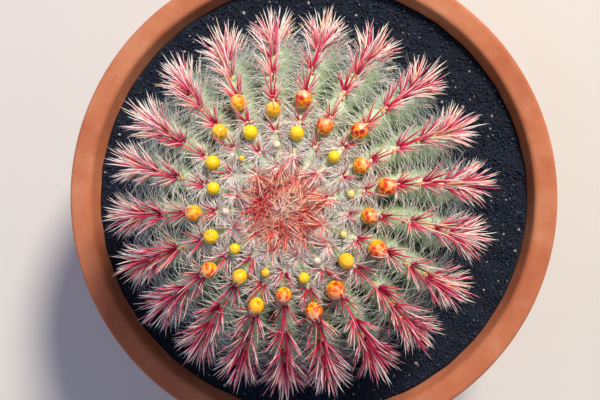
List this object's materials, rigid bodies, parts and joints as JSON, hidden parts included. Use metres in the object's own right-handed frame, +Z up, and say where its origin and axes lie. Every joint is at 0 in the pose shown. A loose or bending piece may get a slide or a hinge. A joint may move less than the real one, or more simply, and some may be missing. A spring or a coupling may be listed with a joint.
{
  "type": "potted round cactus",
  "caption": "Round ribbed barrel cactus with red spines and a ring of yellow-orange flower buds, in black gravel in a wide terracotta bowl.",
  "frame": {"origin": "centre of the pot's foot ring, on the surface that the pot stands on", "axes": "+Z up the axis of the pot and the stem; the view from above, with +Y at its top and +X at its right, is the picture's"},
  "size_m": [0.7, 0.7, 0.6244],
  "materials": {
    "terracotta": "matte",
    "soil": "matte",
    "gravel": "matte",
    "cactus_skin": "satin",
    "flower_bud": "satin"
  },
  "bodies": {
    "root": {"pot": "terracotta", "potting_soil": "soil", "lava_gravel": "gravel", "cactus_stem": "cactus_skin", "flower_bud_01": "flower_bud", "flower_bud_02": "flower_bud", "flower_bud_03": "flower_bud", "flower_bud_04": "flower_bud", "flower_bud_05": "flower_bud", "flower_bud_06": "flower_bud", "flower_bud_07": "flower_bud", "flower_bud_08": "flower_bud", "flower_bud_09": "flower_bud", "flower_bud_10": "flower_bud", "flower_bud_11": "flower_bud", "flower_bud_12": "flower_bud", "flower_bud_13": "flower_bud", "flower_bud_14": "flower_bud", "flower_bud_15": "flower_bud", "flower_bud_16": "flower_bud", "flower_bud_17": "flower_bud", "flower_bud_18": "flower_bud", "flower_bud_19": "flower_bud", "flower_bud_20": "flower_bud", "flower_bud_21": "flower_bud", "flower_bud_22": "flower_bud", "flower_bud_23": "flower_bud", "flower_bud_24": "flower_bud", "flower_bud_25": "flower_bud", "flower_bud_26": "flower_bud", "flower_bud_27": "flower_bud", "flower_bud_28": "flower_bud", "flower_bud_29": "flower_bud", "flower_bud_30": "flower_bud", "flower_bud_31": "flower_bud"}
  },
  "joints": []
}
